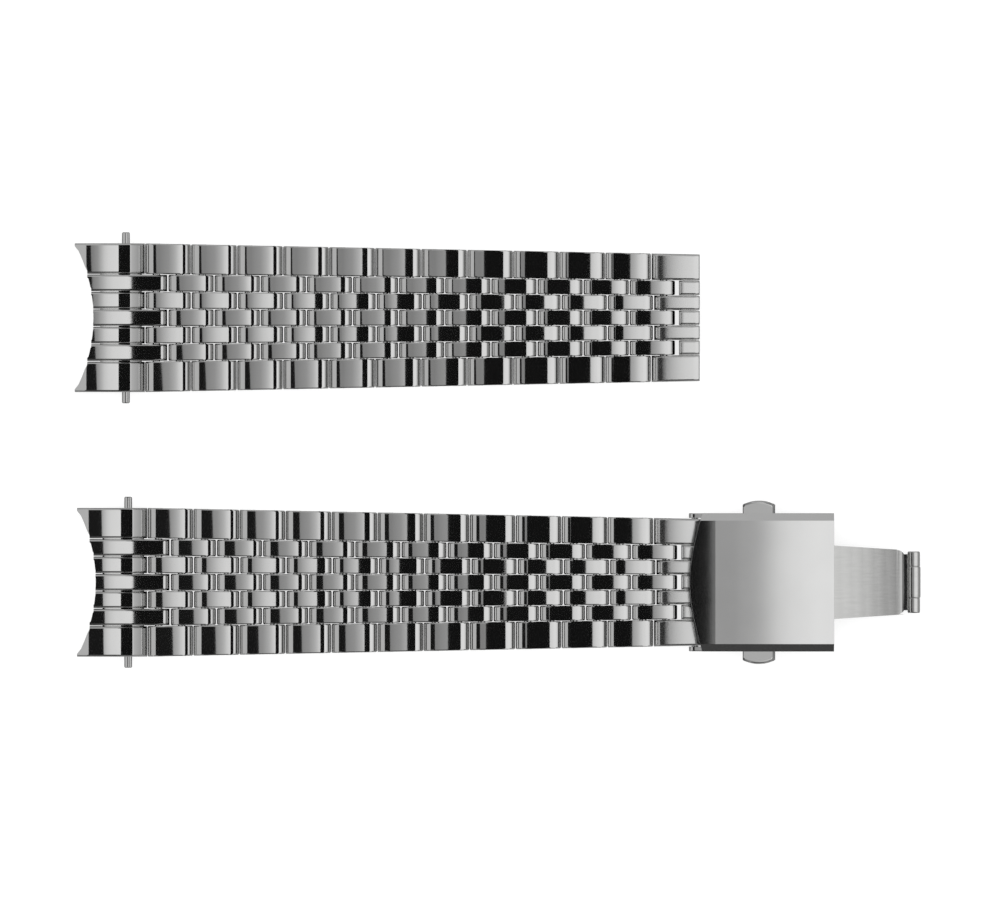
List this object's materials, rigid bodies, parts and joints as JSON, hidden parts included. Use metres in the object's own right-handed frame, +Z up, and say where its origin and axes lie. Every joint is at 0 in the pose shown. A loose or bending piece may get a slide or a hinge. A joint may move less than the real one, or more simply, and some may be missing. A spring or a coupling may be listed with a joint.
{
  "type": "watch bracelet",
  "caption": "Tapering steel watch bracelet of hinged links, laid out flat, with curved end links, spring bars and a push-button folding clasp.",
  "frame": {"origin": "centre of the underside of the whole set, on the surface that it lies on", "axes": "+X along the bracelet from the watch to the clasp, +Z up, away from the wrist"},
  "size_m": [0.1132, 0.0582, 0.0059],
  "materials": {
    "polished_steel": "mirror-polished stainless steel",
    "brushed_steel": "satin stainless steel, brushed along the bracelet",
    "spring_steel": "plain drawn spring wire"
  },
  "bodies": {
    "end_links": {"end_link_12": "polished_steel", "end_link_06": "polished_steel", "spring_bars": "polished_steel"},
    "tip_12_left": {"tip_12_left": "polished_steel"},
    "tip_12_right": {"tip_12_right": "polished_steel"},
    "outer_row_12_01": {"outer_row_12_01": "polished_steel"},
    "centre_row_12_01": {"centre_row_12_01": "polished_steel"},
    "outer_row_12_02": {"outer_row_12_02": "polished_steel"},
    "centre_row_12_02": {"centre_row_12_02": "polished_steel"},
    "outer_row_12_03": {"outer_row_12_03": "polished_steel"},
    "centre_row_12_03": {"centre_row_12_03": "polished_steel"},
    "outer_row_12_04": {"outer_row_12_04": "polished_steel"},
    "centre_row_12_04": {"centre_row_12_04": "polished_steel"},
    "outer_row_12_05": {"outer_row_12_05": "polished_steel"},
    "centre_row_12_05": {"centre_row_12_05": "polished_steel"},
    "outer_row_12_06": {"outer_row_12_06": "polished_steel"},
    "centre_row_12_06": {"centre_row_12_06": "polished_steel"},
    "outer_row_12_07": {"outer_row_12_07": "polished_steel"},
    "centre_row_12_07": {"centre_row_12_07": "polished_steel"},
    "outer_row_12_08": {"outer_row_12_08": "polished_steel"},
    "centre_row_12_08": {"centre_row_12_08": "polished_steel"},
    "outer_row_12_09": {"outer_row_12_09": "polished_steel"},
    "centre_row_12_09": {"centre_row_12_09": "polished_steel"},
    "outer_row_12_10": {"outer_row_12_10": "polished_steel"},
    "centre_row_12_10": {"centre_row_12_10": "polished_steel"},
    "outer_row_12_11": {"outer_row_12_11": "polished_steel"},
    "centre_row_12_11": {"centre_row_12_11": "polished_steel"},
    "end_piece_12": {"end_piece_12": "brushed_steel"},
    "tip_06_left": {"tip_06_left": "polished_steel"},
    "tip_06_right": {"tip_06_right": "polished_steel"},
    "outer_row_06_01": {"outer_row_06_01": "polished_steel"},
    "centre_row_06_01": {"centre_row_06_01": "polished_steel"},
    "outer_row_06_02": {"outer_row_06_02": "polished_steel"},
    "centre_row_06_02": {"centre_row_06_02": "polished_steel"},
    "outer_row_06_03": {"outer_row_06_03": "polished_steel"},
    "centre_row_06_03": {"centre_row_06_03": "polished_steel"},
    "outer_row_06_04": {"outer_row_06_04": "polished_steel"},
    "centre_row_06_04": {"centre_row_06_04": "polished_steel"},
    "outer_row_06_05": {"outer_row_06_05": "polished_steel"},
    "centre_row_06_05": {"centre_row_06_05": "polished_steel"},
    "outer_row_06_06": {"outer_row_06_06": "polished_steel"},
    "centre_row_06_06": {"centre_row_06_06": "polished_steel"},
    "outer_row_06_07": {"outer_row_06_07": "polished_steel"},
    "centre_row_06_07": {"centre_row_06_07": "polished_steel"},
    "outer_row_06_08": {"outer_row_06_08": "polished_steel"},
    "centre_row_06_08": {"centre_row_06_08": "polished_steel"},
    "outer_row_06_09": {"outer_row_06_09": "polished_steel"},
    "centre_row_06_09": {"centre_row_06_09": "polished_steel"},
    "outer_row_06_10": {"outer_row_06_10": "polished_steel"},
    "centre_row_06_10": {"centre_row_06_10": "polished_steel"},
    "outer_row_06_11": {"outer_row_06_11": "polished_steel"},
    "centre_row_06_11": {"centre_row_06_11": "polished_steel"},
    "end_piece_06": {"end_piece_06": "brushed_steel"},
    "clasp_cover": {"clasp_cover": "brushed_steel", "clasp_pins": "polished_steel", "button_springs": "spring_steel"},
    "inner_blade": {"inner_blade": "brushed_steel"},
    "outer_blade": {"outer_blade": "brushed_steel"},
    "button_left": {"button_left": "polished_steel"},
    "button_right": {"button_right": "polished_steel"}
  },
  "joints": [
    {"name": "tip_12_left_slide", "type": "slide", "parent": "end_links", "child": "tip_12_left", "axis": [0, -1, 0], "range_m": [0, 0.0014], "stiffness_N_per_m": 200},
    {"name": "tip_12_right_slide", "type": "slide", "parent": "end_links", "child": "tip_12_right", "axis": [0, 1, 0], "range_m": [0, 0.0014], "stiffness_N_per_m": 200},
    {"name": "tip_06_left_slide", "type": "slide", "parent": "end_links", "child": "tip_06_left", "axis": [0, -1, 0], "range_m": [0, 0.0014], "stiffness_N_per_m": 200},
    {"name": "tip_06_right_slide", "type": "slide", "parent": "end_links", "child": "tip_06_right", "axis": [0, 1, 0], "range_m": [0, 0.0014], "stiffness_N_per_m": 200},
    {"name": "cover_hinge", "type": "hinge", "parent": "end_piece_06", "child": "clasp_cover", "pos_m": [0.02641, -0.0177, 0.00095], "axis": [0, 1, 0], "range_deg": [-8, 25]},
    {"name": "clasp_open", "type": "hinge", "parent": "clasp_cover", "child": "inner_blade", "pos_m": [0.04384, -0.0177, 0.00335], "axis": [0, -1, 0], "range_deg": [0, 178]},
    {"name": "clasp_unfold", "type": "hinge", "parent": "inner_blade", "child": "outer_blade", "pos_m": [0.02864, -0.0177, 0.00086], "axis": [0, -1, 0], "range_deg": [-178, 0]},
    {"name": "button_left_press", "type": "slide", "parent": "clasp_cover", "child": "button_left", "axis": [0, -1, 0], "range_m": [0, 0.00075], "stiffness_N_per_m": 400},
    {"name": "button_right_press", "type": "slide", "parent": "clasp_cover", "child": "button_right", "axis": [0, 1, 0], "range_m": [0, 0.00075], "stiffness_N_per_m": 400},
    {"name": "link_hinge_12_01", "type": "hinge", "parent": "end_links", "child": "outer_row_12_01", "pos_m": [-0.04568, 0.0177, 0.0013], "axis": [0, 1, 0], "range_deg": [-6, 12]},
    {"name": "link_hinge_12_02", "type": "hinge", "parent": "outer_row_12_01", "child": "centre_row_12_01", "pos_m": [-0.04259, 0.0177, 0.0013], "axis": [0, 1, 0], "range_deg": [-6, 12]},
    {"name": "link_hinge_12_03", "type": "hinge", "parent": "centre_row_12_01", "child": "outer_row_12_02", "pos_m": [-0.03951, 0.0177, 0.0013], "axis": [0, 1, 0], "range_deg": [-6, 12]},
    {"name": "link_hinge_12_04", "type": "hinge", "parent": "outer_row_12_02", "child": "centre_row_12_02", "pos_m": [-0.03642, 0.0177, 0.0013], "axis": [0, 1, 0], "range_deg": [-6, 12]},
    {"name": "link_hinge_12_05", "type": "hinge", "parent": "centre_row_12_02", "child": "outer_row_12_03", "pos_m": [-0.03333, 0.0177, 0.0013], "axis": [0, 1, 0], "range_deg": [-6, 12]},
    {"name": "link_hinge_12_06", "type": "hinge", "parent": "outer_row_12_03", "child": "centre_row_12_03", "pos_m": [-0.03025, 0.0177, 0.0013], "axis": [0, 1, 0], "range_deg": [-6, 12]},
    {"name": "link_hinge_12_07", "type": "hinge", "parent": "centre_row_12_03", "child": "outer_row_12_04", "pos_m": [-0.02716, 0.0177, 0.0013], "axis": [0, 1, 0], "range_deg": [-6, 12]},
    {"name": "link_hinge_12_08", "type": "hinge", "parent": "outer_row_12_04", "child": "centre_row_12_04", "pos_m": [-0.02407, 0.0177, 0.0013], "axis": [0, 1, 0], "range_deg": [-6, 12]},
    {"name": "link_hinge_12_09", "type": "hinge", "parent": "centre_row_12_04", "child": "outer_row_12_05", "pos_m": [-0.02099, 0.0177, 0.0013], "axis": [0, 1, 0], "range_deg": [-6, 12]},
    {"name": "link_hinge_12_10", "type": "hinge", "parent": "outer_row_12_05", "child": "centre_row_12_05", "pos_m": [-0.0179, 0.0177, 0.0013], "axis": [0, 1, 0], "range_deg": [-6, 12]},
    {"name": "link_hinge_12_11", "type": "hinge", "parent": "centre_row_12_05", "child": "outer_row_12_06", "pos_m": [-0.01481, 0.0177, 0.0013], "axis": [0, 1, 0], "range_deg": [-6, 12]},
    {"name": "link_hinge_12_12", "type": "hinge", "parent": "outer_row_12_06", "child": "centre_row_12_06", "pos_m": [-0.01172, 0.0177, 0.0013], "axis": [0, 1, 0], "range_deg": [-6, 12]},
    {"name": "link_hinge_12_13", "type": "hinge", "parent": "centre_row_12_06", "child": "outer_row_12_07", "pos_m": [-0.00864, 0.0177, 0.0013], "axis": [0, 1, 0], "range_deg": [-6, 12]},
    {"name": "link_hinge_12_14", "type": "hinge", "parent": "outer_row_12_07", "child": "centre_row_12_07", "pos_m": [-0.00555, 0.0177, 0.0013], "axis": [0, 1, 0], "range_deg": [-6, 12]},
    {"name": "link_hinge_12_15", "type": "hinge", "parent": "centre_row_12_07", "child": "outer_row_12_08", "pos_m": [-0.00246, 0.0177, 0.0013], "axis": [0, 1, 0], "range_deg": [-6, 12]},
    {"name": "link_hinge_12_16", "type": "hinge", "parent": "outer_row_12_08", "child": "centre_row_12_08", "pos_m": [0.00062, 0.0177, 0.0013], "axis": [0, 1, 0], "range_deg": [-6, 12]},
    {"name": "link_hinge_12_17", "type": "hinge", "parent": "centre_row_12_08", "child": "outer_row_12_09", "pos_m": [0.00371, 0.0177, 0.0013], "axis": [0, 1, 0], "range_deg": [-6, 12]},
    {"name": "link_hinge_12_18", "type": "hinge", "parent": "outer_row_12_09", "child": "centre_row_12_09", "pos_m": [0.0068, 0.0177, 0.0013], "axis": [0, 1, 0], "range_deg": [-6, 12]},
    {"name": "link_hinge_12_19", "type": "hinge", "parent": "centre_row_12_09", "child": "outer_row_12_10", "pos_m": [0.00988, 0.0177, 0.0013], "axis": [0, 1, 0], "range_deg": [-6, 12]},
    {"name": "link_hinge_12_20", "type": "hinge", "parent": "outer_row_12_10", "child": "centre_row_12_10", "pos_m": [0.01297, 0.0177, 0.0013], "axis": [0, 1, 0], "range_deg": [-6, 12]},
    {"name": "link_hinge_12_21", "type": "hinge", "parent": "centre_row_12_10", "child": "outer_row_12_11", "pos_m": [0.01606, 0.0177, 0.0013], "axis": [0, 1, 0], "range_deg": [-6, 12]},
    {"name": "link_hinge_12_22", "type": "hinge", "parent": "outer_row_12_11", "child": "centre_row_12_11", "pos_m": [0.01915, 0.0177, 0.0013], "axis": [0, 1, 0], "range_deg": [-6, 12]},
    {"name": "link_hinge_12_23", "type": "hinge", "parent": "centre_row_12_11", "child": "end_piece_12", "pos_m": [0.02223, 0.0177, 0.0013], "axis": [0, 1, 0], "range_deg": [-6, 12]},
    {"name": "link_hinge_06_01", "type": "hinge", "parent": "end_links", "child": "outer_row_06_01", "pos_m": [-0.04537, -0.0177, 0.0013], "axis": [0, 1, 0], "range_deg": [-6, 10]},
    {"name": "link_hinge_06_02", "type": "hinge", "parent": "outer_row_06_01", "child": "centre_row_06_01", "pos_m": [-0.04228, -0.0177, 0.0013], "axis": [0, 1, 0], "range_deg": [-6, 10]},
    {"name": "link_hinge_06_03", "type": "hinge", "parent": "centre_row_06_01", "child": "outer_row_06_02", "pos_m": [-0.0392, -0.0177, 0.0013], "axis": [0, 1, 0], "range_deg": [-6, 10]},
    {"name": "link_hinge_06_04", "type": "hinge", "parent": "outer_row_06_02", "child": "centre_row_06_02", "pos_m": [-0.03611, -0.0177, 0.0013], "axis": [0, 1, 0], "range_deg": [-6, 10]},
    {"name": "link_hinge_06_05", "type": "hinge", "parent": "centre_row_06_02", "child": "outer_row_06_03", "pos_m": [-0.03302, -0.0177, 0.0013], "axis": [0, 1, 0], "range_deg": [-6, 10]},
    {"name": "link_hinge_06_06", "type": "hinge", "parent": "outer_row_06_03", "child": "centre_row_06_03", "pos_m": [-0.02994, -0.0177, 0.0013], "axis": [0, 1, 0], "range_deg": [-6, 10]},
    {"name": "link_hinge_06_07", "type": "hinge", "parent": "centre_row_06_03", "child": "outer_row_06_04", "pos_m": [-0.02685, -0.0177, 0.0013], "axis": [0, 1, 0], "range_deg": [-6, 10]},
    {"name": "link_hinge_06_08", "type": "hinge", "parent": "outer_row_06_04", "child": "centre_row_06_04", "pos_m": [-0.02376, -0.0177, 0.0013], "axis": [0, 1, 0], "range_deg": [-6, 10]},
    {"name": "link_hinge_06_09", "type": "hinge", "parent": "centre_row_06_04", "child": "outer_row_06_05", "pos_m": [-0.02068, -0.0177, 0.0013], "axis": [0, 1, 0], "range_deg": [-6, 10]},
    {"name": "link_hinge_06_10", "type": "hinge", "parent": "outer_row_06_05", "child": "centre_row_06_05", "pos_m": [-0.01759, -0.0177, 0.0013], "axis": [0, 1, 0], "range_deg": [-6, 10]},
    {"name": "link_hinge_06_11", "type": "hinge", "parent": "centre_row_06_05", "child": "outer_row_06_06", "pos_m": [-0.0145, -0.0177, 0.0013], "axis": [0, 1, 0], "range_deg": [-6, 10]},
    {"name": "link_hinge_06_12", "type": "hinge", "parent": "outer_row_06_06", "child": "centre_row_06_06", "pos_m": [-0.01141, -0.0177, 0.0013], "axis": [0, 1, 0], "range_deg": [-6, 10]},
    {"name": "link_hinge_06_13", "type": "hinge", "parent": "centre_row_06_06", "child": "outer_row_06_07", "pos_m": [-0.00833, -0.0177, 0.0013], "axis": [0, 1, 0], "range_deg": [-6, 10]},
    {"name": "link_hinge_06_14", "type": "hinge", "parent": "outer_row_06_07", "child": "centre_row_06_07", "pos_m": [-0.00524, -0.0177, 0.0013], "axis": [0, 1, 0], "range_deg": [-6, 10]},
    {"name": "link_hinge_06_15", "type": "hinge", "parent": "centre_row_06_07", "child": "outer_row_06_08", "pos_m": [-0.00215, -0.0177, 0.0013], "axis": [0, 1, 0], "range_deg": [-6, 10]},
    {"name": "link_hinge_06_16", "type": "hinge", "parent": "outer_row_06_08", "child": "centre_row_06_08", "pos_m": [0.00093, -0.0177, 0.0013], "axis": [0, 1, 0], "range_deg": [-6, 10]},
    {"name": "link_hinge_06_17", "type": "hinge", "parent": "centre_row_06_08", "child": "outer_row_06_09", "pos_m": [0.00402, -0.0177, 0.0013], "axis": [0, 1, 0], "range_deg": [-6, 10]},
    {"name": "link_hinge_06_18", "type": "hinge", "parent": "outer_row_06_09", "child": "centre_row_06_09", "pos_m": [0.00711, -0.0177, 0.0013], "axis": [0, 1, 0], "range_deg": [-6, 10]},
    {"name": "link_hinge_06_19", "type": "hinge", "parent": "centre_row_06_09", "child": "outer_row_06_10", "pos_m": [0.01019, -0.0177, 0.0013], "axis": [0, 1, 0], "range_deg": [-6, 10]},
    {"name": "link_hinge_06_20", "type": "hinge", "parent": "outer_row_06_10", "child": "centre_row_06_10", "pos_m": [0.01328, -0.0177, 0.0013], "axis": [0, 1, 0], "range_deg": [-6, 10]},
    {"name": "link_hinge_06_21", "type": "hinge", "parent": "centre_row_06_10", "child": "outer_row_06_11", "pos_m": [0.01637, -0.0177, 0.0013], "axis": [0, 1, 0], "range_deg": [-6, 10]},
    {"name": "link_hinge_06_22", "type": "hinge", "parent": "outer_row_06_11", "child": "centre_row_06_11", "pos_m": [0.01946, -0.0177, 0.0013], "axis": [0, 1, 0], "range_deg": [-6, 10]},
    {"name": "link_hinge_06_23", "type": "hinge", "parent": "centre_row_06_11", "child": "end_piece_06", "pos_m": [0.02254, -0.0177, 0.0013], "axis": [0, 1, 0], "range_deg": [-6, 10]}
  ],
  "couplings": [
    {"joint": "clasp_unfold", "follows": "clasp_open", "ratio": -1}
  ]
}
